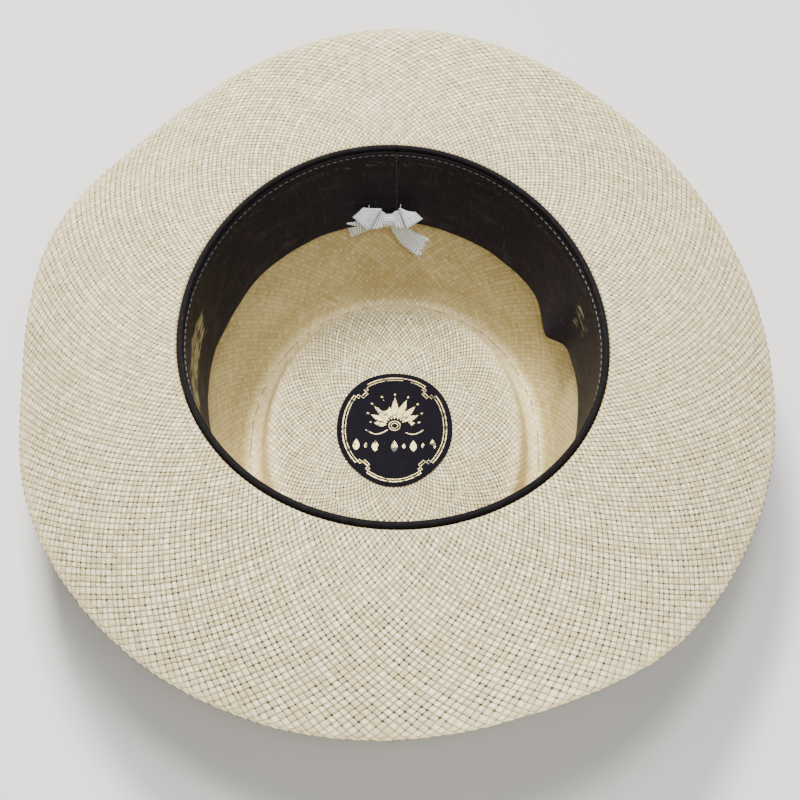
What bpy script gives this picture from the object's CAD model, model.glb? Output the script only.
import math

import bpy
import numpy as np
from mathutils import Matrix, Vector


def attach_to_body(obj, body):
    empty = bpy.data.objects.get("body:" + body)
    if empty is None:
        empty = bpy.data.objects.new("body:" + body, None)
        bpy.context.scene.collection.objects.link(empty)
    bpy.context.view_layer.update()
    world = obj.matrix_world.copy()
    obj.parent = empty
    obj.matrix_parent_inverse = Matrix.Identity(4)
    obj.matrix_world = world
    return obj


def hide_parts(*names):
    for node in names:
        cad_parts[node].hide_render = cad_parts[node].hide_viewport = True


# Looks of the panama hat, lying on its crown.  Lengths are in millimetres until a mesh is made,
# angles in degrees from the wearer's right (+X) towards the back of the hat (+Y).

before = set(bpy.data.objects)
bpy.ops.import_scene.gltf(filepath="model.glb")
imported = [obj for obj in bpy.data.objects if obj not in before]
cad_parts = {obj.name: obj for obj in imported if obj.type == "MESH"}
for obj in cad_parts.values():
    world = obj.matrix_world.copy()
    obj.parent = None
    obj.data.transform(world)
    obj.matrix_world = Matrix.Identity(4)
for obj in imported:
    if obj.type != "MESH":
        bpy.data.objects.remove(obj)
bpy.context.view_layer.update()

MM = 0.001
random = np.random.default_rng(7)

# ---------- dimensions, as in the CAD
OPENING_HALF_LENGTH = 98.5
OPENING_HALF_WIDTH = 85.5
OPENING_LEVEL = 88.0
OPENING_SADDLE = 3.0
OPENING_SIDE_TILT = 3.0

STRAW = 1.2
BRIM_WIDTH = 76.0
BRIM_SLOPES = (-23, -17, -12, -3, 3, -6, -17, -11, -31, -25, -26, -22, -16, -1, -24, -24)
BREAK_RADIUS = 1.5
BREAK_PULL = 2.2  # how strongly the bend of the break is drawn to its corner
WALL_MARGIN = 0.8

TIP_HALF_LENGTH = 87.0
TIP_HALF_WIDTH = 68.5
TIP_SHIFT = 4.0
TIP_SQUARENESS = 2.1
WALL_FOOT = 8.5
RIDGE_INSET = 5.5
LAND_WIDTH = 3.0
PAD_RISE = 10.8
PAD_INSET = 14.2

LEATHER = 1.1
LEATHER_TOP = -1.8
LEATHER_BOTTOM = -38.5
REED_RADIUS = 0.8
REED_INSET = 1.35
REED_DROP = 0.35
TAPE = 0.35
SEAM_ANGLE = 90.0
SEAM_HALF_GAP = 0.134  # of a degree
PINCH_ANGLE = 22.0
PINCH_DEPTH = 7.2
STITCH_RADIUS = 0.2
EDGE_STITCHES = 184
SEAM_STITCHES = 35
SEWING_STITCHES = 60

BOW_RISE = -34.0
BOW_ACROSS = -3.3
BOW_RIBBON = 0.32
LABEL_HALF_WIDTH = 25.0
LABEL_HALF_LENGTH = 30.5
LABEL_LEVEL = 12.15

RIBBON = 0.5
LAID_RIBBON = 0.4  # the ribbon as drawn, with room for its ribs
HAT_BAND_WIDTH = 36.0
HAT_BAND_TOP = 4.0
HAT_BAND_GAP = 0.6
HAT_BAND_BOW_ANGLE = 180.0


# ---------- shape of the hat
def vectors(x, y, z):
    return np.stack(np.broadcast_arrays(x, y, z), axis=-1).astype(float)


def unit(v):
    return v / np.maximum(np.linalg.norm(v, axis=-1, keepdims=True), 1e-9)


def stations_blend(values, angle):
    """Smooth value at an angle from values given at even steps round the hat."""
    values = np.array(values, float)
    place = (angle / 360.0 * len(values)) % len(values)
    index = np.floor(place).astype(int)
    f = place - index
    weights = ((1 - f) ** 3, 3 * f ** 3 - 6 * f ** 2 + 4,
               -3 * f ** 3 + 3 * f ** 2 + 3 * f + 1, f ** 3)
    return sum(w / 6 * values[(index + k - 1) % len(values)] for k, w in enumerate(weights))


def opening_level(angle):
    turn = np.radians(angle)
    return OPENING_LEVEL - OPENING_SIDE_TILT * np.cos(turn) - OPENING_SADDLE * np.cos(2 * turn)


def outward(angle):
    turn = np.radians(angle)
    across = vectors(np.cos(turn) * OPENING_HALF_LENGTH, np.sin(turn) * OPENING_HALF_WIDTH, 0)
    return unit(across)


def at_opening(angle, inset, rise):
    """Point at a distance inside the opening line and a height over it."""
    turn = np.radians(angle)
    x = OPENING_HALF_WIDTH * np.cos(turn)
    y = OPENING_HALF_LENGTH * np.sin(turn)
    inset = np.asarray(inset, float)
    return vectors(x, y, opening_level(angle) + rise) - outward(angle) * inset[..., None]


def brim_point(angle, reach):
    """Middle of the straw on the brim; reach runs from 0 at the opening to 1 at the edge."""
    slope = stations_blend(BRIM_SLOPES, angle)
    steps = 12
    across = 0.0
    rise = 0.0
    for step in range(steps):
        part = reach * (step + 0.5) / steps
        lean = np.radians(slope * (0.5 + part))
        across = across + np.cos(lean) / steps
        rise = rise + np.sin(lean) / steps
    return at_opening(angle, -BRIM_WIDTH * reach * across, BRIM_WIDTH * reach * rise - STRAW / 2)


def tip_oval(angle, half_width, half_length, height):
    turn = np.radians(angle)
    power = 2.0 / TIP_SQUARENESS
    x = np.sign(np.cos(turn)) * np.abs(np.cos(turn)) ** power * half_width
    y = np.sign(np.sin(turn)) * np.abs(np.sin(turn)) ** power * half_length
    return vectors(x, y + TIP_SHIFT, height)


def tip_point(angle, inset, height):
    return tip_oval(angle, TIP_HALF_WIDTH - inset, TIP_HALF_LENGTH - inset, height)


def wall_point(angle, depth, offset):
    """Point on the crown wall at a depth below the opening; offset is positive outwards."""
    angle, depth, offset = np.broadcast_arrays(angle, depth, offset)
    head = at_opening(angle, -WALL_MARGIN, -STRAW / 2)
    foot = tip_point(angle, 0, WALL_FOOT)
    fall = (depth - STRAW / 2) / (head[..., 2] - foot[..., 2])
    lean = np.maximum(fall - 0.05, 0) ** 1.7
    place = head + (foot - head) * lean[..., None]
    place[..., 2] = opening_level(angle) - depth
    return place + outward(angle) * offset[..., None]


def straw_profile(angle):
    """Middle of the straw at each angle, in rows from the brim edge to the middle of the tip."""
    turn_in = (BREAK_RADIUS + WALL_MARGIN) / BRIM_WIDTH
    rows = [brim_point(angle, 1 + (turn_in - 1) * k / 12) for k in range(13)]
    corner = at_opening(angle, -WALL_MARGIN, -STRAW / 2)
    wall_top = BREAK_RADIUS + STRAW / 2
    start = rows[-1]
    wall_start = wall_point(angle, wall_top, 0)
    for f in (0.25, 0.5, 0.75):
        pull = 2 * BREAK_PULL * f * (1 - f)
        bend = start * (1 - f) ** 2 + corner * pull + wall_start * f ** 2
        rows.append(bend / ((1 - f) ** 2 + pull + f ** 2))
    wall_end = opening_level(angle) - WALL_FOOT
    for k in range(11):
        rows.append(wall_point(angle, wall_top + (wall_end - wall_top) * k / 10, 0))
    for turn in (22.5, 45, 67.5, 90):
        inset = RIDGE_INSET * (1 - math.cos(math.radians(turn)))
        height = WALL_FOOT - (WALL_FOOT - STRAW / 2) * math.sin(math.radians(turn))
        rows.append(tip_point(angle, inset, height))
    pad = PAD_RISE + STRAW / 2
    foot = RIDGE_INSET + LAND_WIDTH
    rows.append(tip_point(angle, foot, STRAW / 2))
    for across, up in ((0.3, 0.08), (0.55, 0.3), (0.75, 0.6), (0.9, 0.85), (1.1, 0.97)):
        inset = foot + (PAD_INSET - foot) * across
        rows.append(tip_point(angle, inset, STRAW / 2 + (pad - STRAW / 2) * up))
    rows.append(tip_point(angle, PAD_INSET + 3, pad))
    for share in PAD_SHARES:
        half_width = TIP_HALF_WIDTH - PAD_INSET
        half_length = TIP_HALF_LENGTH - PAD_INSET
        rows.append(tip_oval(angle, half_width * share, half_length * share, pad))
    return np.array(rows)


PAD_SHARES = (0.86, 0.76, 0.66, 0.53, 0.4, 0.3, 0.2, 0.12, 0.05)
BREAK_ROW = 14  # row of the profile in the middle of the break
WALL_CHANGE_ROW = 18  # rows of the profile where strands were added to the weave
LAND_ROW = 30
PAD_CHANGE_ROWS = (40, 42, 44, 46)


# ---------- making meshes
def attach(obj, node):
    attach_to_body(obj, "root")
    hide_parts(node)


def make_object(name, points, faces, material):
    mesh = bpy.data.meshes.new(name)
    mesh.from_pydata((np.asarray(points) * MM).tolist(), [], faces)
    mesh.polygons.foreach_set("use_smooth", [True] * len(mesh.polygons))
    mesh.materials.append(material)
    mesh.update()
    obj = bpy.data.objects.new(name, mesh)
    bpy.context.scene.collection.objects.link(obj)
    return obj


def add_values(obj, name, values):
    layer = obj.data.attributes.new(name, "FLOAT", "POINT")
    layer.data.foreach_set("value", np.asarray(values, float))


def grid_normals(grid):
    along = np.gradient(grid, axis=0)
    across = np.gradient(grid, axis=1)
    return unit(np.cross(along, across))


def spans(grid, axis):
    """Mean distance of each row or column of a grid from the first."""
    steps = np.linalg.norm(np.diff(grid, axis=axis), axis=-1).mean(axis=1 - axis)
    return np.concatenate(([0], np.cumsum(steps)))


def sheet_object(name, grid, thickness, material, node, relief=0):
    """Closed thin solid on both sides of a grid of points: rows along its length, columns across.
    Its UV layer "cloth" holds the distances along and across in millimetres."""
    rows, columns = grid.shape[:2]
    normals = grid_normals(grid)
    shift = normals * (thickness / 2 + np.asarray(relief) * np.ones((rows, columns)))[..., None]
    points = np.concatenate(((grid + shift).reshape(-1, 3), (grid - shift).reshape(-1, 3)))
    index = np.arange(rows * columns).reshape(rows, columns)
    quads = np.stack((index[:-1, :-1], index[1:, :-1], index[1:, 1:], index[:-1, 1:]), -1)
    quads = quads.reshape(-1, 4)
    under = quads[:, ::-1] + rows * columns
    border = np.concatenate((index[0], index[1:, -1], index[-1, -2::-1], index[-2:0:-1, 0]))
    after = np.roll(border, -1)
    edge = np.stack((border, after, after + rows * columns, border + rows * columns), -1)
    obj = make_object(name, points, np.concatenate((quads, under, edge)).tolist(), material)
    along, across = np.meshgrid(spans(grid, 0), spans(grid, 1), indexing="ij")
    flat = np.stack((along, across), -1).reshape(-1, 2)
    corners = np.zeros(len(obj.data.loops), int)
    obj.data.loops.foreach_get("vertex_index", corners)
    layer = obj.data.uv_layers.new(name="cloth")
    layer.data.foreach_set("uv", np.concatenate((flat, flat))[corners].ravel())
    attach(obj, node)
    return obj


def curve_at(padded, place):
    """Catmull-Rom curve at places along rows of points, which have one more row at each end."""
    i = np.clip(place.astype(int), 0, len(padded) - 4)
    f = (place - i).reshape(-1, *[1] * (padded.ndim - 1))
    a, b, c, d = (padded[i + k] for k in range(4))
    return 0.5 * (2 * b + (c - a) * f + (2 * a - 5 * b + 4 * c - d) * f ** 2
                  + (3 * b - a - 3 * c + d) * f ** 3)


def ribs(count):
    """Relief of the ribs that run across a ribbon."""
    return 0.05 * np.cos(np.arange(count) * math.pi)[:, None]


def smooth_path(points, count):
    """Curve through the points, with that many points along it."""
    points = np.array(points, float)
    padded = np.concatenate(([2 * points[0] - points[1]], points, [2 * points[-1] - points[-2]]))
    return curve_at(padded, np.linspace(0, len(points) - 1, count))


def threads_object(name, starts, ends, radius, material, node):
    """Short rounded threads, each from a start to an end."""
    sides = 8
    rings = ((0.0, 0.35), (0.12, 0.85), (0.35, 1.0), (0.65, 1.0), (0.88, 0.85), (1.0, 0.35))
    points = []
    faces = []
    for start, end in zip(starts, ends):
        along = Vector(end - start)
        turn = along.to_track_quat("Z", "Y").to_matrix()
        first = len(points)
        for part, swell in rings:
            for k in range(sides):
                around = 2 * math.pi * (k / sides + 0.15 * part)
                rim = Vector((math.cos(around), math.sin(around), 0)) * (radius * swell)
                points.append(Vector(start) + along * part + turn @ rim)
        for ring in range(len(rings) - 1):
            for k in range(sides):
                low = first + ring * sides
                after = (k + 1) % sides
                faces.append((low + k, low + after, low + sides + after, low + sides + k))
        faces.append([first + k for k in range(sides)][::-1])
        faces.append([len(points) - sides + k for k in range(sides)])
    attach(make_object(name, points, faces, material), node)


# ---------- building materials
def put(value, socket):
    """Link a signal to a socket of a node, or set the socket's own value."""
    if isinstance(value, Signal):
        socket.id_data.links.new(value.socket, socket)
    elif value is not None:
        socket.default_value = (*value, 1.0) if socket.type == "RGBA" else value


def add_node(tree, kind, inputs=(), **settings):
    made = tree.nodes.new(kind)
    for name, value in settings.items():
        setattr(made, name, value)
    for value, socket in zip(inputs, made.inputs):
        put(value, socket)
    return made


def signal(tree, kind, inputs=(), output=0, **settings):
    return Signal(add_node(tree, kind, inputs, **settings).outputs[output])


class Signal:
    """Output of a shader node.  Arithmetic on it adds the nodes that work the result out."""

    def __init__(self, socket):
        self.socket = socket

    def feed(self, kind, inputs, output=0, **settings):
        return signal(self.socket.id_data, kind, inputs, output, **settings)

    def math(self, operation, *others):
        return self.feed("ShaderNodeMath", (self, *others), operation=operation)

    def __add__(self, other):
        return self.math("ADD", other)

    def __sub__(self, other):
        return self.math("SUBTRACT", other)

    def __rsub__(self, other):
        return self.math("MULTIPLY_ADD", -1.0, other)

    def __mul__(self, other):
        return self.math("MULTIPLY", other)

    def __pow__(self, power):
        return self.math("POWER", power)

    def __abs__(self):
        return self.math("ABSOLUTE")

    def clamped(self):
        """This result of arithmetic, kept between 0 and 1."""
        self.socket.node.use_clamp = True
        return self

    def smooth(self, low, high):
        """0 at low, 1 at high, smooth between."""
        inputs = (self, low, high, 0.0, 1.0)
        return self.feed("ShaderNodeMapRange", inputs, interpolation_type="SMOOTHSTEP")

    def between(self, first, second):
        """The first number where this is 0, the second where it is 1."""
        return self.feed("ShaderNodeMix", (self, None, first, second), data_type="FLOAT")

    def colour(self, first, second):
        """The first colour where this is 0, the second where it is 1."""
        inputs = (self, *[None] * 5, first, second)
        return self.feed("ShaderNodeMix", inputs, 2, data_type="RGBA")


class Finish:
    """A material, with short calls for the patterns that it is made of."""

    def __init__(self, name, **settings):
        self.material = bpy.data.materials.new(name)
        self.material.use_nodes = True
        self.tree = self.material.node_tree
        self.shader = self.tree.nodes["Principled BSDF"]
        for socket, value in settings.items():
            self.shader.inputs[socket.replace("_", " ")].default_value = value

    def source(self, kind, inputs=(), output=0, **settings):
        return signal(self.tree, kind, inputs, output, **settings)

    def uv(self, name):
        return self.source("ShaderNodeUVMap", uv_map=name)

    def value(self, name):
        return self.source("ShaderNodeAttribute", output="Fac", attribute_name=name)

    def place(self):
        return self.source("ShaderNodeTexCoord", output="Object")

    def split(self, vector):
        made = add_node(self.tree, "ShaderNodeSeparateXYZ", (vector,))
        return Signal(made.outputs[0]), Signal(made.outputs[1])

    def noise(self, vector, scale, detail=2.0):
        """Uneven pattern; three scales in place of one draw it out."""
        if isinstance(scale, tuple):
            vector = vector.feed("ShaderNodeVectorMath", (vector, scale), operation="MULTIPLY")
            scale = 1.0
        return self.source("ShaderNodeTexNoise", (vector, None, scale, detail))

    def join(self, x, y, z):
        return self.source("ShaderNodeCombineXYZ", (x, y, z))

    def chance(self, x, y, z):
        return self.source("ShaderNodeTexWhiteNoise", (self.join(x, y, z),), "Value")

    def finish(self, colour, roughness=None, height=None, depth=0.0, strength=1.0, metallic=None):
        """Feed the shader.  The height stands for a relief of a depth in millimetres."""
        sockets = self.shader.inputs
        put(colour, sockets["Base Color"])
        put(roughness, sockets["Roughness"])
        put(metallic, sockets["Metallic"])
        if height is not None:
            bump = add_node(self.tree, "ShaderNodeBump", (strength, depth * MM))
            put(height, bump.inputs["Height"])
            put(Signal(bump.outputs[0]), sockets["Normal"])
        return self.material


def straw_finish():
    """Plain weave of split palm straw.  The layer "weave" counts the weave's units."""
    f = Finish("straw")
    around, down = f.split(f.uv("weave"))
    strands = f.value("strands")
    warmth = f.value("warmth")
    open_weave = f.value("openness")

    # the two sets of strands, p and q, and which of them is over the other
    p = around + down
    q = around - down
    p_count = (p + 0.0001).math("FLOOR").math("WRAP", strands, 0.0)
    q_count = (q + 0.0001).math("FLOOR").math("WRAP", strands, 0.0)
    over = (p.math("FLOOR") + q.math("FLOOR")).math("PINGPONG", 1.0)
    along = over.between(p.math("FRACT"), q.math("FRACT"))
    across = over.between(q.math("FRACT"), p.math("FRACT"))
    strand = over.between(q_count, p_count)
    from_middle = abs(across - 0.5) * 2.0
    from_crest = abs(along - 0.5) * 2.0
    height = (1.0 - from_middle ** 7.0) * (1.0 - from_crest ** 2.4 * 0.8)

    strand_luck = f.chance(strand, over * 7.0, 3.0)
    cell_luck = f.chance(p_count, q_count, 1.0)
    corner_luck = f.chance(p.math("ROUND"), q.math("ROUND"), 5.0)
    fibre = f.noise(f.join(across * 9.0, along, strand), 2.2, 3.0)
    drift = f.noise(f.place(), 22.0, 3.0)

    pale = warmth.colour((0.86, 0.745, 0.42), (0.58, 0.465, 0.205))
    deep = warmth.colour((0.62, 0.515, 0.27), (0.44, 0.335, 0.11))
    shade = strand_luck * 0.55 + cell_luck * 0.4 + over * 0.16 + (drift - 0.55) * 0.9
    colour = shade.clamped().colour(pale, deep)
    colour = ((fibre - 0.4) * 0.5).clamped().colour(colour, (0.46, 0.35, 0.19))
    crest = from_crest.smooth(0.75, 0.15) * from_middle.smooth(0.8, 0.3)
    crest = crest * cell_luck.smooth(0.75, 0.15) * open_weave * 0.85
    colour = crest.clamped().colour(colour, (1.0, 0.965, 0.80))

    # dark grooves beside the strands and pinholes at their corners
    edge = from_middle.smooth(0.82, 1.0) * 0.4
    groove = (from_crest ** 3.2).math("MAXIMUM", edge) * (cell_luck * 0.7 + 0.4)
    groove_colour = warmth.colour((0.20, 0.15, 0.07), (0.27, 0.17, 0.045))
    colour = (groove * open_weave * 0.85).clamped().colour(colour, groove_colour)
    hole_edge = corner_luck * 0.40 + 0.46
    pinhole = (from_middle * from_crest).smooth(hole_edge, hole_edge + 0.14) * open_weave
    colour = (pinhole * 0.9).colour(colour, (0.022, 0.016, 0.010))

    relief = (height + fibre * 0.25 - pinhole) * open_weave
    roughness = height.between(0.75, cell_luck.between(0.22, 0.46))
    return f.finish(colour, roughness, relief, 0.5)


def leather_finish():
    """Dark worn calf leather with a few rubbed marks of gilding."""
    f = Finish("leather", Specular_IOR_Level=0.2)
    flat = f.uv("cloth")
    along, across = f.split(flat)
    grain = f.source("ShaderNodeTexVoronoi", (flat, None, 1.7), "Distance")
    folds = f.noise(flat, (0.16, 0.05, 1.0), 5.0)
    creases = f.noise(flat, (0.9, 0.12, 1.0), 4.0)
    rubbed = f.noise(flat, (0.05, 0.22, 1.0), 6.0)
    colour = folds.colour((0.0052, 0.0036, 0.0064), (0.0115, 0.0080, 0.0124))
    low_edge = across.smooth(28.0, 38.0)
    worn = rubbed.smooth(0.5, 0.75) * low_edge.between(0.3, 0.75)
    colour = worn.colour(colour, (0.046, 0.036, 0.034))
    powder = creases.smooth(0.58, 0.74) * 0.2
    colour = powder.colour(colour, (0.10, 0.085, 0.08))
    under_stitches = abs(across - 6.4).smooth(1.6, 0.4)
    scuffs = f.noise(flat, (0.45, 0.8, 1.0), 6.0).smooth(0.54, 0.66)
    colour = (under_stitches * scuffs * 0.5).colour(colour, (0.11, 0.09, 0.09))

    # gilding rubbed down to smudges, on the left of the band and a little on the right; the
    # places are millimetres from the seam and from the upper edge
    left = abs(along - 150.0).smooth(42.0, 26.0)
    right = abs(along - 437.0).smooth(11.0, 3.0) * 0.62
    where = left.math("MAXIMUM", right) * abs(across - 19.0).smooth(8.0, 4.0)
    dust = f.noise(flat, (0.13, 0.6, 1.0), 9.0)
    gilt = (dust + where * 0.26).smooth(0.66, 0.80) * where * 0.85
    colour = gilt.colour(colour, (0.36, 0.31, 0.15))

    roughness = f.noise(flat, 0.5, 4.0).between(0.5, 0.75)
    return f.finish(colour, roughness, grain * 0.5 + creases * 0.8, 0.22, 0.6)


def ribbon_finish(name, thread, shadow, pitch, roughness, sheen):
    """Grosgrain: ribs across the ribbon every pitch millimetres, with fine warp threads over them."""
    f = Finish(name, Sheen_Weight=sheen, Sheen_Roughness=0.4)
    flat = f.uv("cloth")
    along, across = f.split(flat)
    rib = abs((along * (math.pi / pitch)).math("SINE")).smooth(0.0, 0.75)
    warp = abs((across * (math.pi / 0.34)).math("SINE"))
    uneven = f.noise(flat, 0.4, 4.0)
    lit = rib * (warp * 0.25 + 0.75) + (uneven - 0.5) * 0.6
    colour = lit.clamped().colour(shadow, thread)
    return f.finish(colour, uneven.between(roughness, roughness + 0.2), rib + warp * 0.2, 0.18, 0.8)


def thread_finish(name, light, dark):
    """Twisted thread: slanting strands with a little fuzz."""
    f = Finish(name, Roughness=0.7, Sheen_Weight=0.3)
    twist = f.noise(f.place(), (2600.0, 2600.0, 5200.0))
    wear = f.noise(f.place(), 60.0, 3.0)
    return f.finish(((twist + wear) * 0.5).colour(light, dark), None, twist, 0.1, 0.7)


def tape_finish():
    """Narrow woven cotton tape, black and rubbed a little on its turn."""
    f = Finish("binding_tape", Specular_IOR_Level=0.07)
    flat = f.uv("cloth")
    along, across = f.split(flat)
    woven = (along * 9.0).math("SINE") * (across * 9.0).math("SINE") * 0.5 + 0.5
    rubbed = f.noise(flat, (0.3, 0.6, 1.0), 5.0).smooth(0.5, 0.75)
    colour = woven.colour((0.004, 0.0035, 0.0045), (0.011, 0.0095, 0.011))
    colour = (rubbed * 0.35).colour(colour, (0.035, 0.03, 0.03))
    return f.finish(colour, rubbed.between(0.7, 0.85), woven, 0.12, 0.7)


def satin_finish():
    """Dark satin of the label: long floats across, faint creases."""
    f = Finish("label", Specular_IOR_Level=0.05)
    flat = f.uv("cloth")
    floats = f.noise(flat, (0.8, 9.0, 1.0))
    creases = f.noise(flat, 0.12, 4.0)
    colour = floats.colour((0.0014, 0.0008, 0.0028), (0.0042, 0.0030, 0.0075))
    colour = (creases.smooth(0.5, 0.8) * 0.3).colour(colour, (0.011, 0.009, 0.016))
    return f.finish(colour, creases.between(0.5, 0.7), floats + creases * 3.0, 0.1, 0.5)


def gilding_finish():
    """Printed gold, rubbed down to the satin in places."""
    f = Finish("gilding")
    wear = f.noise(f.place(), 420.0, 6.0)
    patches = f.noise(f.place(), 75.0, 3.0)
    kept = (wear + patches * 0.5).smooth(0.58, 0.74)
    bright = patches.colour((0.50, 0.42, 0.20), (0.30, 0.24, 0.10))
    colour = kept.colour((0.05, 0.042, 0.035), bright)
    return f.finish(colour, kept.between(0.6, 0.36), wear, 0.05, 0.5, kept * 0.7)


def plastic_finish():
    """Extruded plastic reed, with faint drawing lines."""
    f = Finish("reed")
    lines = f.noise(f.place(), (300.0, 300.0, 4000.0), 3.0)
    colour = lines.colour((0.62, 0.6, 0.54), (0.74, 0.72, 0.66))
    return f.finish(colour, lines.between(0.3, 0.5), lines, 0.05, 0.4)


# ---------- woven straw
UNIT = 2.95  # length of one unit of the weave, corner to corner of a strand
TIP_UNIT = 2.7
STRANDS = (262, 184, 150, 96, 60, 30)  # each way round, on the brim, the wall and four on the tip
JITTER = 0.15  # how unevenly the strands lie, in units of the weave
CREST = 0.03  # how far the strands stand over the plain surface
PIT = 0.33  # and how deep the weave falls between them
BAKE_MARGIN = 0.006


def half_steps(lines):
    """Values at every half step from values at whole steps round the hat."""
    return np.stack((lines, (lines + np.roll(lines, -1)) / 2), -1).ravel()


class StrawZone:
    """Part of the straw with one number of strands: rows of points, every other one staggered."""

    def __init__(self, strands, start, end, pitch, chart):
        self.strands = strands
        self.start = start
        self.end = end
        self.rows = max(int(round((end - start) / (pitch / 4))), 4)
        self.chart = chart
        self.columns = 4 * strands
        self.first = 0

    def middle(self):
        """Smooth middle surface at a quarter unit's spacing, with its normals."""
        angle = np.arange(self.columns) * 360.0 / self.columns
        profile = straw_profile(angle)
        wanted = np.linspace(self.start, self.end, self.rows + 1)
        place = np.interp(wanted, PROFILE_LENGTHS, np.arange(len(PROFILE_LENGTHS)))
        points = curve_at(np.concatenate((profile[:1], profile, profile[-1:])), place)
        by_turn = (np.roll(points, -1, 1) - np.roll(points, 1, 1)) * 2
        by_row = np.gradient(points, axis=0) * 4
        normals = unit(np.cross(by_turn, by_row))
        return points, by_turn, by_row, normals, wanted

    def place_points(self, side, jitter):
        """Points of one skin of this zone; side is 1 inside, -1 outside."""
        points, by_turn, by_row, normals, wanted = self.middle()
        row = np.repeat(np.arange(self.rows + 1), 2 * self.strands).reshape(self.rows + 1, -1)
        column = 2 * np.arange(2 * self.strands)[None, :] + row % 2
        i = ((column + row) // 2) % (2 * self.strands)
        j = ((column - row) // 2) % (2 * self.strands)
        p_shift = half_steps(jitter[0])[i]
        q_shift = half_steps(jitter[1])[j]
        around = (p_shift + q_shift) / 2
        along = (p_shift - q_shift) / 2
        crest = (i % 2) * (j % 2)
        pit = (1 - i % 2) * (1 - j % 2)
        bumps = np.random.default_rng(self.strands + side).random(row.shape)
        relief = CREST * crest * (0.4 + bumps) - PIT * pit - PIT * 0.42 * (1 - crest) * (1 - pit)
        fade = np.minimum(self.rows - row, row if self.chart else 9) / 2
        at_break = np.exp(-((wanted[row] - PROFILE_LENGTHS[BREAK_ROW]) / 3.0) ** 2)
        relief = relief * np.clip(fade, 0, 1) * (1 - 0.75 * at_break)
        half = STRAW / 2 - 0.03 - 0.25 * np.exp(-wanted[row] / 0.6) * (self.chart == 0)
        pick = (row, column)
        skin = (points[pick] + by_turn[pick] * around[..., None] + by_row[pick] * along[..., None]
                + normals[pick] * (side * (half + relief))[..., None])
        return skin.reshape(-1, 3), wanted[row].ravel()

    def openness(self):
        """How open the weave is: less at the ends of the zone, where strands were added."""
        row = np.repeat(np.arange(self.rows + 1), 2 * self.strands)
        pressed = np.clip(1 - np.minimum(row, self.rows - row) / 1.3, 0, 1)
        marks = [PROFILE_LENGTHS[mark] for mark in OPENNESS_ROWS]
        place = self.start + (self.end - self.start) * row / self.rows
        return np.interp(place, marks, OPENNESS) * (1 - 0.6 * pressed)

    def index(self, column, row):
        return self.first + row * 2 * self.strands + ((column - row % 2) // 2) % (2 * self.strands)


# Charts of the straw's own texture layout (brim, wall, tip): quarters of the hat side by side,
# height of a row of them, and height of the first row's foot.
CHARTS = ((3, 0.165, 0.0), (4, 0.15, 0.5), (8, 0.18, 0.81))


def chart_place(chart, side, turn, share):
    """Place in the texture of a point a turn (0 to 1) round the hat and a share along the chart.
    The first corner of each face decides which quarter of the hat the face belongs to."""
    beside, height, base = CHARTS[chart]
    quarter = np.floor(turn[:, :1] * 4)
    slot = quarter % 4 + (0 if side > 0 else 4)
    x = slot % beside + BAKE_MARGIN * 3 + (turn * 4 - quarter) * (1 - BAKE_MARGIN * 9)
    y = base + (slot // beside) * height
    return x / beside, y + BAKE_MARGIN + share * (height - 2 * BAKE_MARGIN)


def zone_faces(zone):
    """Columns and rows of the corners of the diamonds, and of the half diamonds at both ends."""
    def faces(row, *steps):
        middle = np.arange(0, zone.columns, 2) + 1 - row % 2
        corners = [(middle + across, 0 * middle + row + down) for across, down in steps]
        return np.array(corners).transpose(1, 2, 0)

    left, up, right, down = (-1, 0), (0, -1), (1, 0), (0, 1)
    whole = [faces(row, left, up, right, down) for row in range(1, zone.rows)]
    return (np.concatenate(whole, 1), faces(0, left, right, down),
            faces(zone.rows, left, up, right))


def zip_rings(outer, inner):
    """Triangles between the last ring of one zone and the first ring of the next: the column, the
    row and the zone (0 or 1) of each corner."""
    outer_count = 2 * outer.strands
    inner_count = 2 * inner.strands
    stagger = outer.rows % 2
    triangles = []
    a = b = 0
    while a < outer_count or b < inner_count:
        here = (2 * a + stagger, outer.rows, 0)
        opposite = (2 * b, 0, 1)
        next_outer = (a + 1 + stagger / 2) / outer_count
        if b >= inner_count or (a < outer_count and next_outer <= (b + 1) / inner_count):
            a += 1
            following = (2 * a + stagger, outer.rows, 0)
        else:
            b += 1
            following = (2 * b, 0, 1)
        triangles.append((here, following, opposite))
    return np.moveaxis(np.array(triangles), -1, 0)


def straw_zones():
    changes = (0, WALL_CHANGE_ROW, LAND_ROW, *PAD_CHANGE_ROWS)
    ends = [PROFILE_LENGTHS[row] for row in changes]
    pitches = (UNIT, UNIT) + (TIP_UNIT,) * 4
    charts = (0, 1, 2, 2, 2, 2)
    return [StrawZone(*facts) for facts in zip(STRANDS, ends, ends[1:], pitches, charts)]


# Openness of the weave at rows of the profile: pressed flat on the crown wall and in the channel.
OPENNESS_ROWS = (0, 1, 12, 16, 18, 34, 36, 38, 46)
OPENNESS = (0.5, 1.0, 1.0, 0.6, 0.3, 0.25, 0.5, 1.15, 1.0)

# Warmth of the straw at rows of the profile: pale brim, tanned crown, bright channel and tip.
WARMTH_ROWS = (12, 17, 23, 26, 28, 30, 32, 33, 34, 36, 40, 46)
WARMTH = (0.0, 0.6, 0.65, 0.85, 1.0, 0.42, 0.32, 1.0, 0.3, 0.1, 0.0, 0.0)
OUTSIDE_WARMTH = 0.4  # as a share: the outside was never tanned by a head


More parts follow.
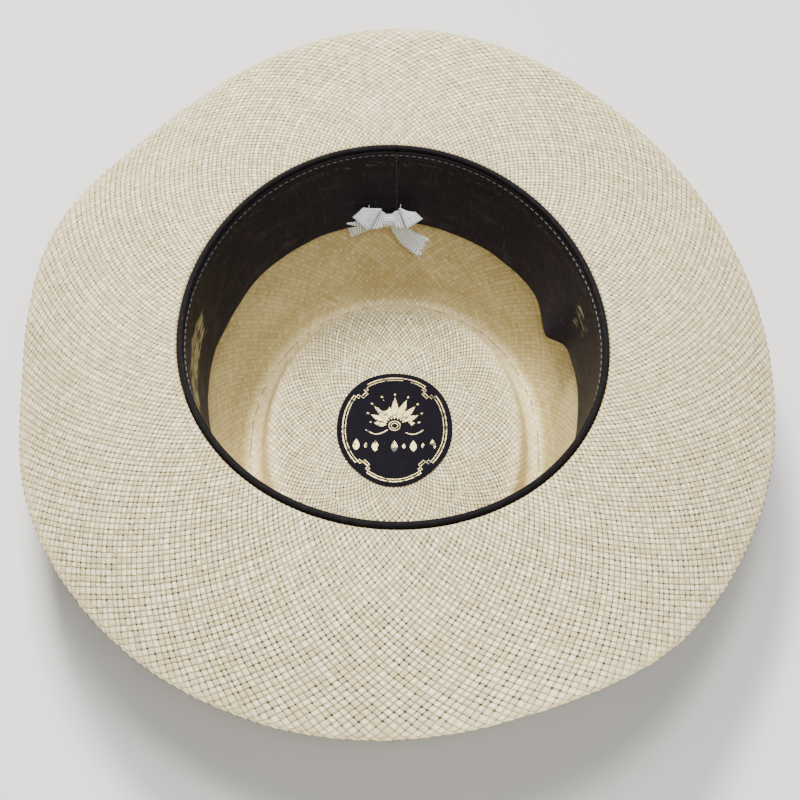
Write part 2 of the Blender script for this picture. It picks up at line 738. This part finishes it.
def make_straw(material):
    """The whole straw body: its inside skin, its outside skin and the woven edge joining them."""
    zones = straw_zones()
    jitters = [random.uniform(-JITTER, JITTER, (2, zone.strands)) for zone in zones]
    chart_spans = [(zones[0].start, zones[0].end), (zones[1].start, zones[1].end),
                   (zones[2].start, zones[-1].end)]
    marks = [PROFILE_LENGTHS[row] for row in WARMTH_ROWS]
    points, faces, layers = [], [], []
    values = {"warmth": [], "strands": [], "openness": []}

    def add_points(places, *kinds):
        points.append(places)
        for parts, value in zip(values.values(), kinds):
            parts.append(value + np.zeros(len(places)))

    def add_faces(indices, side, chart, turns, units, lengths):
        """Faces, with what their corners have: turns round the hat, units of the weave both ways
        and lengths along the profile."""
        low, high = chart_spans[chart]
        x, y = chart_place(chart, side, turns, (lengths + 0 * turns - low) / (high - low))
        corners = np.stack(np.broadcast_arrays(*units, x, y), -1)
        if side < 0:
            indices, corners = indices[:, ::-1], corners[:, ::-1]
        faces.extend(indices.tolist())
        layers.append(corners.reshape(-1, 4))

    rims = []
    for side, tan in ((1, 1.0), (-1, OUTSIDE_WARMTH)):
        for zone, jitter in zip(zones, jitters):
            zone.first = sum(len(part) for part in points)
            skin, lengths = zone.place_points(side, jitter)
            add_points(skin, tan * np.interp(lengths, marks, WARMTH), zone.strands, zone.openness())
            for column, row in zone_faces(zone):
                lengths = zone.start + (zone.end - zone.start) * row / zone.rows
                add_faces(zone.index(column, row), side, zone.chart, column / zone.columns,
                          (column / 4, row / 4), lengths)
        for outer, inner in zip(zones, zones[1:]):
            column, row, which = zip_rings(outer, inner)
            indices = np.where(which == 0, outer.index(column, row), inner.index(column, row))
            turns = column / np.where(which == 0, outer.columns, inner.columns)
            add_faces(indices, side, outer.chart, turns,
                      (turns * outer.strands, (outer.rows + which) / 4), outer.end)
        last = zones[-1]
        ring = last.index(np.arange(last.rows % 2, last.columns, 2), last.rows)
        centre = sum(len(part) for part in points)
        add_points(np.concatenate(points)[ring].mean(0)[None], 0.0, last.strands, 0.3)
        fan = np.stack((ring, np.roll(ring, -1), np.full(len(ring), centre)), -1)
        turns = (np.arange(len(ring))[:, None] + (0, 1, 0.5)) / len(ring)
        add_faces(fan, side, last.chart, turns, (turns * last.strands, last.rows / 4), last.end)
        rims.append(np.arange(2 * zones[0].strands) + zones[0].first)

    made = np.concatenate(points)
    inside, outside = rims
    count = len(inside)
    middle = (made[inside] + made[outside]) / 2
    away = unit(middle - middle.mean(0)) * (1, 1, 0)
    scallop = 0.42 + 0.16 * np.cos(np.arange(count) * math.pi)[:, None]
    add_points(middle + away * scallop, 0.0, zones[0].strands, 0.4)
    rim = np.arange(count) + len(made)
    turns = (np.arange(count)[:, None] + (0, 0, 1, 1)) / count
    for near, far in ((inside, rim), (rim, outside)):
        quads = np.stack((near, far, np.roll(far, -1), np.roll(near, -1)), -1)
        add_faces(quads, 1, 0, turns, (turns * zones[0].strands, 0.0), -0.4)

    obj = make_object("woven_straw", np.concatenate(points), faces, material)
    corners = np.concatenate(layers)
    for name, pair in (("weave", corners[:, :2]), ("OFBake", corners[:, 2:])):
        obj.data.uv_layers.new(name=name).data.foreach_set("uv", pair.ravel())
    for name, parts in values.items():
        add_values(obj, name, np.concatenate(parts))
    attach(obj, "straw_body")


# ---------- sweatband
def leather_inset(rise):
    """Inset of the leather's front face at a height under the opening."""
    depth = LEATHER_TOP - rise
    return 2.45 + 0.075 * depth + 0.0029 * depth ** 2


def leather_point(angle, behind, rise):
    """Point at a distance behind the leather's front face, with the set that it has taken."""
    away = (angle - PINCH_ANGLE + 180) % 360 - 180
    width = np.where(away > 0, 11.5, 3.6)
    depth = np.maximum(LEATHER_TOP - rise, 0) / (LEATHER_TOP - LEATHER_BOTTOM)
    pinch = PINCH_DEPTH * np.exp(-((away / width) ** 2)) * depth ** 1.5
    turn = np.radians(angle)
    ripple = 0.35 * np.sin(7 * turn + 1) + 0.25 * np.sin(13 * turn + 4)
    return at_opening(angle, leather_inset(rise) - behind + pinch + ripple * depth ** 2, rise)


def band_angles(count):
    return np.linspace(SEAM_ANGLE + SEAM_HALF_GAP, SEAM_ANGLE + 360 - SEAM_HALF_GAP, count)


def make_sweatband(material):
    angle, rise = np.meshgrid(band_angles(541), np.linspace(LEATHER_TOP, LEATHER_BOTTOM, 34),
                              indexing="ij")
    grid = leather_point(angle, LEATHER / 2, rise)
    turn = np.radians(angle)
    soft = 0.09 * np.sin(31 * turn + rise / 5) * np.sin(rise / 3.1 + 5 * turn)
    grid += outward(angle) * soft[..., None]
    obj = sheet_object("sweatband_leather", grid, LEATHER, material, "sweatband")


def make_reed_tape(material):
    """Tape folded round the reed, with one long tail behind the leather."""
    radius = REED_RADIUS + 0.08 + TAPE / 2
    arc = [(REED_INSET + radius * math.cos(math.radians(t)),
            -REED_DROP + radius * math.sin(math.radians(t))) for t in range(-62, 206, 12)]
    section = np.array(arc + [(0.62, -2.4), (0.66, -4.6), (0.68, -7.0)])
    angle = np.linspace(SEAM_ANGLE + 0.01, SEAM_ANGLE + 359.99, 721)
    rows = [at_opening(angle, inset + 0 * angle, rise) for inset, rise in section]
    grid = np.stack(rows, 1)[:, ::-1]
    obj = sheet_object("reed_tape_cloth", grid, TAPE, material,
                       "sweatband_reed_tape")


def make_seam_tape(material):
    angle, rise = np.meshgrid(np.linspace(86, 94, 17), np.linspace(-8, LEATHER_BOTTOM, 22),
                              indexing="ij")
    grid = leather_point(angle, LEATHER + 0.275, rise)
    obj = sheet_object("seam_tape_cloth", grid, TAPE, material,
                       "sweatband_seam_tape")


def make_band_stitching(dark_thread, seam_thread, straw_thread):
    lift = -STITCH_RADIUS - 0.05
    rise = -3.4
    angle = np.linspace(SEAM_ANGLE + 1.2, SEAM_ANGLE + 358.8, EDGE_STITCHES)
    threads_object("edge_stitching_threads", leather_point(angle - 0.62, lift, rise),
                   leather_point(angle + 0.62, lift, rise), STITCH_RADIUS, dark_thread,
                   "sweatband_edge_stitching")
    rises = np.append(-4.6 - 0.95 * np.arange(SEAM_STITCHES), (-2.6, -3.6, -4.4))
    slant = random.uniform(-0.3, 0.3, len(rises))
    reach = np.append(random.uniform(0.25, 0.42, SEAM_STITCHES), (0.5, 0.75, 0.6))
    threads_object("seam_stitching_threads",
                   leather_point(SEAM_ANGLE - reach, lift, rises + slant),
                   leather_point(SEAM_ANGLE + reach, lift, rises - slant),
                   STITCH_RADIUS * 0.8, seam_thread, "sweatband_seam_stitching")
    angle = 3.0 + 360.0 / SEWING_STITCHES * np.arange(SEWING_STITCHES)
    offset = STRAW / 2 + 0.28
    threads_object("sewing_stitch_threads", wall_point(angle - 0.9, 6.5, offset),
                   wall_point(angle + 0.9, 6.5, offset), STITCH_RADIUS, straw_thread,
                   "sweatband_sewing_stitches")


# ---------- size bow
def bow_place(path):
    """Points (across, out, up) from the knot of the size bow, put in the hat."""
    path = np.asarray(path, float)
    y = OPENING_HALF_LENGTH - leather_inset(BOW_RISE - 4) - 0.4
    z = opening_level(SEAM_ANGLE) + BOW_RISE
    return vectors(BOW_ACROSS + path[..., 0], y - path[..., 1], z + path[..., 2])


def ribbon_piece(name, path, across, widths, material, node, ragged=0.0, cup=0.0):
    """Ribbon along a path; across gives its crosswise direction and widths its width on the way."""
    count = 90
    columns = 13
    line = smooth_path(path, count)
    direction = unit(smooth_path(across, count))
    width = smooth_path(np.array(widths, float)[:, None], count)
    share = np.linspace(-0.5, 0.5, columns)
    grid = line[:, None] + direction[:, None] * (width * share[None])[..., None]
    grid[..., 1] += cup * (1 - 4 * share ** 2)[None] * np.sin(np.linspace(0, math.pi, count))[:, None]
    if ragged:
        steps = np.diff(line, axis=0)[-1] * ragged * count / 9
        teeth = np.random.default_rng(3).uniform(-0.5, 1, columns)
        reach = np.clip((np.arange(count) - count + 9) / 9, 0, 1)
        grid += reach[:, None, None] * teeth[None, :, None] * steps
    obj = sheet_object(name, bow_place(grid), BOW_RIBBON, material, node, ribs(count))


# Each loop: its side and name; the pleat (across, up) with its width and lean; the turn at the
# loop's end (across, up) with its width; the length of ribbon in it.
LOOPS = (
    (-1, "left", (6.3, 2.4), 11.2, 0.55, (13.7, 5.4), 6.2, 0.032),
    (1, "right", (6.2, 3.2), 9.6, 0.35, (13.2, 3.9), 4.4, 0.027),
)


def make_bow_loop(side, name, pleat, pleat_width, lean, end, end_width, length, ribbon):
    x, up = pleat
    far, high = end
    mean_width = (pleat_width + end_width) / 2
    stops = (
        ((1.2, 3.0, 0.6), (0, -0.5, 0.85), 5.6),
        ((x * 0.6, 3.2, up * 0.3), (0.3, -0.5, 0.8), 8.0),
        ((x + 0.5, 3.3, up - 1.4), (lean, -0.5, 0.72), pleat_width - 1),
        ((x + 0.9, 3.9, up - 0.6), (lean, -0.5, 0.72), pleat_width - 0.4),
        ((x - 0.1, 4.5, up), (lean, -0.5, 0.72), pleat_width),
        ((x + 0.7, 5.2, up + 1.0), (lean, -0.5, 0.72), pleat_width),
        (((x + far) / 2, 5.0, (up + high) / 2 + 1.1), (0.6, -0.45, 0.7), mean_width),
        ((far - 0.8, 4.2, high + 0.6), (0.7, -0.35, 0.62), end_width + 0.6),
        ((far, 3.4, high), (0.7, -0.3, 0.6), end_width),
        ((far - 1.2, 2.6, high - 0.6), (0.6, -0.2, 0.7), end_width),
        ((x, 2.0, up - 1.2), (0.3, -0.1, 0.9), 5.6),
        ((1.2, 1.8, 0.6), (0, 0, 1), 4.2),
    )
    path = [(side * place[0], place[1], place[2]) for place, _, _ in stops]
    across = [(-side * way[0], way[1], way[2]) for _, way, _ in stops]
    ribbon_piece(f"{name}_loop_ribbon", path, across, [width for _, _, width in stops], ribbon,
                 f"size_bow_{name}_loop", cup=0.25)


def make_size_bow(ribbon, thread):
    for loop in LOOPS:
        make_bow_loop(*loop, ribbon)
    ribbon_piece("left_tail_ribbon", ((-0.6, 2.3, -0.6), (-5.5, 1.6, -2.6), (-11, 1.6, -4.9),
                                        (-18.0, 2.6, -6.6)),
                 ((0.3, 0, 1), (0.25, 0, 1), (0.1, 0.1, 1), (-0.2, 0.1, 1)), (3.6, 6.4, 8.8, 10.4),
                 ribbon, "size_bow_left_tail", ragged=0.3, cup=0.5)
    end = np.array((15.0, 4.2, -15.4))
    end_across = unit(np.array((0.5, -0.3, 0.9)))
    ribbon_piece("right_tail_ribbon", ((0.6, 2.3, -0.6), (3.6, 1.9, -5.4), (8.2, 2.4, -11.0), end),
                 ((0.6, 0, 1), (0.7, 0, 0.9), (0.7, -0.1, 0.8), end_across), (3.6, 6.4, 9.0, 10.4),
                 ribbon, "size_bow_right_tail", ragged=0.8, cup=0.6)
    turns = np.radians(np.arange(0, 361, 30))
    path = [(0.15 * math.sin(t), 2.9 - 2.3 * math.cos(t), 0.4 + 2.9 * math.sin(t)) for t in turns]
    ribbon_piece("knot_ribbon", path, [(1, 0, 0.1)] * len(path),
                 [5.4 - 0.9 * abs(math.sin(t)) for t in turns], ribbon,
                 "size_bow_knot")
    starts = [(-8.9, 2.0, 5.6), (4.9, 2.0, 6.4)]
    ends = [(-8.7, 2.2, 9.2), (5.2, 2.2, 9.8)]
    for share in np.linspace(-0.48, 0.48, 8):
        start = end + end_across * 10.0 * share
        fall = random.uniform(1.6, 3.8)
        starts.append(start)
        ends.append(start + np.array((0.55 * fall, 0.1 * fall, random.uniform(-0.9, -0.5) * fall)))
    threads_object("bow_loose_threads", bow_place(starts), bow_place(ends), 0.19, thread,
                   "size_bow_thread")


# ---------- label in the tip
def label_point(angle, inset):
    """Point on the label's outline, set in; the outline is an oval, narrower towards its foot."""
    turn = np.radians(angle)
    rise = np.sin(turn)
    taper = 1 - 0.2 * np.minimum(rise, 0) ** 2
    x = np.sign(np.cos(turn)) * np.abs(np.cos(turn)) ** 0.92 * (LABEL_HALF_WIDTH - inset) * taper
    y = np.sign(rise) * np.abs(rise) ** 0.92 * (LABEL_HALF_LENGTH - inset)
    return vectors(x, y + TIP_SHIFT + 1, LABEL_LEVEL)


def make_label(material):
    """Satin patch lying on the weave, with a rolled edge."""
    angle = np.linspace(-89, 89, 121)[:, None]
    share = np.sin(np.linspace(-0.5, 0.5, 61) * math.pi)[None]
    grid = label_point(angle, 0.0) * np.ones_like(share)[..., None]
    rim = 1 - np.maximum(np.abs(share), np.abs(np.sin(np.radians(angle))))
    grid[..., 0] *= -share
    wave = 0.1 * np.sin(grid[..., 0] / 3.1) * np.sin(grid[..., 1] / 3.7)
    grid[..., 2] += 0.08 + wave * np.clip(rim * 8, 0, 1) + 0.14 * np.exp(-((rim - 0.02) / 0.03) ** 2)
    obj = sheet_object("label_satin", grid, 0.3, material, "tip_label")


GILT_LEVEL = LABEL_LEVEL + 0.2
GILT = 0.1  # height of the printing, so that it has a solid shape


def raised_line(path, width, closed=True):
    """Points and faces of a thin raised line along a flat path."""
    path = np.asarray(path, float)
    if closed:
        along = np.roll(path, -1, 0) - np.roll(path, 1, 0)
    else:
        along = np.gradient(path, axis=0)
    side = unit(np.stack((-along[:, 1], along[:, 0]), -1)) * width / 2
    count = len(path)
    points = [np.column_stack((path + side * s, np.full(count, GILT_LEVEL + rise)))
              for s, rise in ((1, 0), (0.8, GILT), (-0.8, GILT), (-1, 0))]
    faces = []
    for k in range(count if closed else count - 1):
        after = (k + 1) % count
        for ring in range(4):
            a, b = ring * count, (ring + 1) % 4 * count
            faces.append((a + k, a + after, b + after, b + k))
    if not closed:
        faces.append((0, count, 2 * count, 3 * count))
        faces.append((count - 1, 4 * count - 1, 3 * count - 1, 2 * count - 1))
    return np.concatenate(points), faces


def raised_leaf(start, end, width):
    """Points and faces of a pointed leaf from start to end."""
    share = np.linspace(0, 1, 9)
    line = start + (end - start) * share[:, None]
    along = unit((end - start)[None])[0]
    side = np.array([-along[1], along[0]])
    half = width / 2 * np.sin(math.pi * share ** 0.8)
    outline = np.concatenate((line + side * half[:, None], (line - side * half[:, None])[-2:0:-1]))
    count = len(outline)
    low = np.column_stack((outline, np.full(count, GILT_LEVEL)))
    faces = [tuple(range(count, 2 * count))[::-1], tuple(range(count))]
    faces += [(k, count + k, count + (k + 1) % count, (k + 1) % count) for k in range(count)]
    return np.concatenate((low, low + (0, 0, GILT))), faces


def border_path(inset):
    """Border of the label, stepping in at four corners."""
    path = []
    notches = (47, 133, 227, 313)
    steps = ((-8.5, 0), (-8.5, 1.3), (-4.5, 1.3), (-4.5, 2.9), (4.5, 2.9), (4.5, 1.3), (8.5, 1.3),
             (8.5, 0))
    for k, notch in enumerate(notches):
        for away, deeper in steps:
            path.append(label_point(float(notch + away), inset + deeper)[:2])
        following = notches[(k + 1) % 4] + (360 if k == 3 else 0)
        for angle in np.linspace(notch + 8.5, following - 8.5, 16)[1:-1]:
            path.append(label_point(float(angle), inset)[:2])
    return path


def make_gilding(material):
    """Generic gold ornament: a double border, a fan of palm leaves and a row of lozenges."""
    parts = [raised_line(border_path(2.5), 0.62), raised_line(border_path(3.7), 0.42)]
    foot = np.array((0.0, TIP_SHIFT + 2.6))
    for k in range(-4, 5):
        lean = math.radians(90 - k * 20)
        reach = 15.5 - 0.4 * k * k
        way = np.array((math.cos(lean), math.sin(lean)))
        parts.append(raised_leaf(foot + way * 3.6, foot + way * reach, 3.0))
        tip = foot + way * (reach + 1.0)
        parts.append(raised_leaf(tip, tip + way * 1.3, 0.9))
    for radius in (2.5, 1.4):
        ring = [foot + radius * np.array((math.cos(t), math.sin(t)))
                for t in np.linspace(0, 2 * math.pi, 25)[:-1]]
        parts.append(raised_line(ring, 0.5))
    for side in (-1, 1):
        scroll = [foot + np.array((side * (3 + 9.5 * t), -2.2 - 2.4 * math.sin(math.pi * t)))
                  for t in np.linspace(0, 1, 15)]
        parts.append(raised_line(scroll, 0.6, closed=False))
    for k in range(-4, 5):
        half, width = (1.4, 1.4) if k % 2 else (3.0, 2.9)
        middle = np.array((k * 4.1, TIP_SHIFT - 8.4 + 0.05 * k * k))
        up = np.array((0.0, half))
        parts.append(raised_leaf(middle - up, middle + up, width))
    points, faces = [], []
    for part_points, part_faces in parts:
        first = len(points)
        points.extend(part_points)
        faces.extend([tuple(first + i for i in face) for face in part_faces])
    obj = make_object("label_gilding", np.array(points), faces, material)
    obj.data.polygons.foreach_set("use_smooth", [False] * len(faces))
    obj.data.update()
    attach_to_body(obj, "root")


# ---------- ribbon round the crown
def make_hat_band(material, thread):
    offset = STRAW / 2 + HAT_BAND_GAP + RIBBON / 2
    angles = np.linspace(HAT_BAND_BOW_ANGLE + 0.2, HAT_BAND_BOW_ANGLE + 359.8, 1001)
    depths = HAT_BAND_TOP + HAT_BAND_WIDTH * np.linspace(0, 1, 15)
    obj = sheet_object("hat_band_ribbon", wall_point(angles[:, None], depths, offset),
                       LAID_RIBBON, material, "hat_band", ribs(len(angles)))
    angle = np.array((30.0, 90, 150, 210, 270, 330))
    depth = HAT_BAND_TOP + HAT_BAND_WIDTH - 1.5
    out = offset + RIBBON / 2 + STITCH_RADIUS
    threads_object("hat_band_tack_threads", wall_point(angle, depth, out),
                   wall_point(angle, depth - 2.5, out), STITCH_RADIUS, thread,
                   "hat_band_tacks")


def make_hat_band_bow(material):
    base = STRAW / 2 + HAT_BAND_GAP + RIBBON
    share = np.linspace(0, 1, 15)
    from_middle = np.abs(share - 0.5) * 2

    # tails, cut on a slant and notched
    sweep = np.linspace(-1, 1, 121)[:, None]
    angle = HAT_BAND_BOW_ANGLE + sweep * (18.4 + 2.2 * from_middle)
    depth = HAT_BAND_TOP + 0.5 + (HAT_BAND_WIDTH - 1) * share
    tail = wall_point(angle, depth, base + 0.6 + 0.5 * np.abs(sweep) ** 3)
    obj = sheet_object("band_bow_tail_ribbon", tail, LAID_RIBBON, material,
                       "hat_band_bow_tail", ribs(121))

    # loops, one ribbon going out and back on both sides of the wrap
    turn = np.linspace(0, 2 * math.pi, 241)[:-1, None]
    swing = np.sin(turn)
    puff = np.sin(np.abs(swing) * math.pi) ** 0.8
    swell = np.where(np.cos(turn) > 0, 0.55 + 1.9 * puff, -0.55)
    slack = np.where(turn > 0, swell[-1], swell[0])
    angle = HAT_BAND_BOW_ANGLE + swing * (17 - 0.8 * from_middle)
    narrow = 1.5 + 3.0 * np.exp(-((swing / 0.16) ** 2))
    depth = HAT_BAND_TOP + narrow + (HAT_BAND_WIDTH - 2 * narrow) * share
    loop = wall_point(angle, depth, base + 2.2 + (swell + slack) / 2)
    obj = sheet_object("band_bow_loop_ribbon", loop, LAID_RIBBON, material,
                       "hat_band_bow_loop", ribs(240))

    # wrap over the middle
    sweep = np.linspace(-1, 1, 31)[:, None]
    depth = HAT_BAND_TOP + 0.2 + (HAT_BAND_WIDTH - 0.4) * share
    tuck = 1.1 * np.exp(-from_middle ** 6)
    wrap = wall_point(HAT_BAND_BOW_ANGLE + sweep * 3.4, depth,
                      base + 1.4 + 2.4 * (1 - sweep ** 4) * tuck)
    pleats = 0.1 * np.cos(np.arange(31) * math.pi / 3)[:, None]
    obj = sheet_object("band_bow_wrap_ribbon", wrap, LAID_RIBBON, material,
                       "hat_band_bow_wrap", pleats)


# ---------- camera, floor and lights
def make_camera():
    target = Vector((0.0028, -0.03828, 0.088))
    elevation = math.radians(52.0)
    yaw = math.radians(-0.586)
    forward = Vector((math.cos(elevation) * math.sin(yaw), math.cos(elevation) * math.cos(yaw),
                      -math.sin(elevation)))
    right = Vector((math.cos(yaw), -math.sin(yaw), 0))
    up = right.cross(forward)
    data = bpy.data.cameras.new("camera")
    data.lens = 75.54
    data.sensor_width = 36
    camera = bpy.data.objects.new("camera", data)
    turn = Matrix((right, up, -forward)).transposed()
    distance = 0.64
    camera.matrix_world = Matrix.Translation(target - forward * distance) @ turn.to_4x4()
    bpy.context.scene.collection.objects.link(camera)
    bpy.context.scene.camera = camera


def make_floor():
    f = Finish("floor", Roughness=0.75)
    tint = f.noise(f.place(), 3.0, 3.0)
    material = f.finish(tint.colour((0.70, 0.69, 0.67), (0.74, 0.73, 0.71)))
    size = 40000.0
    corners = [(-size, -size, 0), (size, -size, 0), (size, size, 0), (-size, size, 0)]
    floor = make_object("floor", corners, [(0, 1, 2, 3)], material)


def make_light(name, place, aim, size, power, colour):
    data = bpy.data.lights.new(name, "AREA")
    data.shape = "RECTANGLE"
    data.size, data.size_y = size
    data.energy = power
    data.color = colour
    light = bpy.data.objects.new(name, data)
    light.location = place
    light.rotation_euler = (Vector(aim) - Vector(place)).to_track_quat("-Z", "Y").to_euler()
    bpy.context.scene.collection.objects.link(light)


def make_studio():
    make_camera()
    make_floor()
    make_light("key", (-0.2, 0.56, 1.22), (0, 0, 0.05), (0.32, 0.32), 35.0, (1.0, 0.97, 0.91))
    make_light("front", (0.12, -0.8, 1.1), (0, 0, 0.05), (0.4, 0.4), 8.0, (0.98, 0.99, 1.0))
    make_light("top", (0.02, -0.12, 1.5), (0, 0, 0), (0.35, 0.35), 15.5, (1.0, 0.985, 0.96))
    world = bpy.data.worlds.new("studio")
    world.use_nodes = True
    background = world.node_tree.nodes["Background"]
    background.inputs["Color"].default_value = (0.93, 0.95, 1.0, 1.0)
    background.inputs["Strength"].default_value = 0.3
    bpy.context.scene.world = world


# ---------- the whole
def mean_lengths():
    """Mean distance along the straw of each row of the profile."""
    return spans(straw_profile(np.arange(0, 360, 2.0)), 0)


PROFILE_LENGTHS = mean_lengths()


def main():
    make_studio()
    make_straw(straw_finish())
    tape = tape_finish()
    dark_thread = thread_finish("dark_thread", (0.15, 0.135, 0.14), (0.035, 0.03, 0.032))
    make_sweatband(leather_finish())
    make_reed_tape(tape)
    make_seam_tape(tape)
    straw_thread = thread_finish("straw_thread", (0.6, 0.52, 0.36), (0.42, 0.34, 0.2))
    seam_thread = thread_finish("seam_thread", (0.05, 0.042, 0.042), (0.014, 0.011, 0.012))
    make_band_stitching(dark_thread, seam_thread, straw_thread)
    white = ribbon_finish("white_ribbon", (0.93, 0.99, 1.0), (0.17, 0.20, 0.25), 1.15, 0.4, 0.3)
    make_size_bow(white, thread_finish("white_thread", (0.78, 0.79, 0.8), (0.5, 0.52, 0.55)))
    make_label(satin_finish())
    make_gilding(gilding_finish())
    black = ribbon_finish("grosgrain", (0.030, 0.026, 0.026), (0.008, 0.007, 0.007), 1.2, 0.5, 0.25)
    make_hat_band(black, dark_thread)
    make_hat_band_bow(black)
    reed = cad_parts["sweatband_reed"]
    reed.data.materials.clear()
    reed.data.materials.append(plastic_finish())


main()
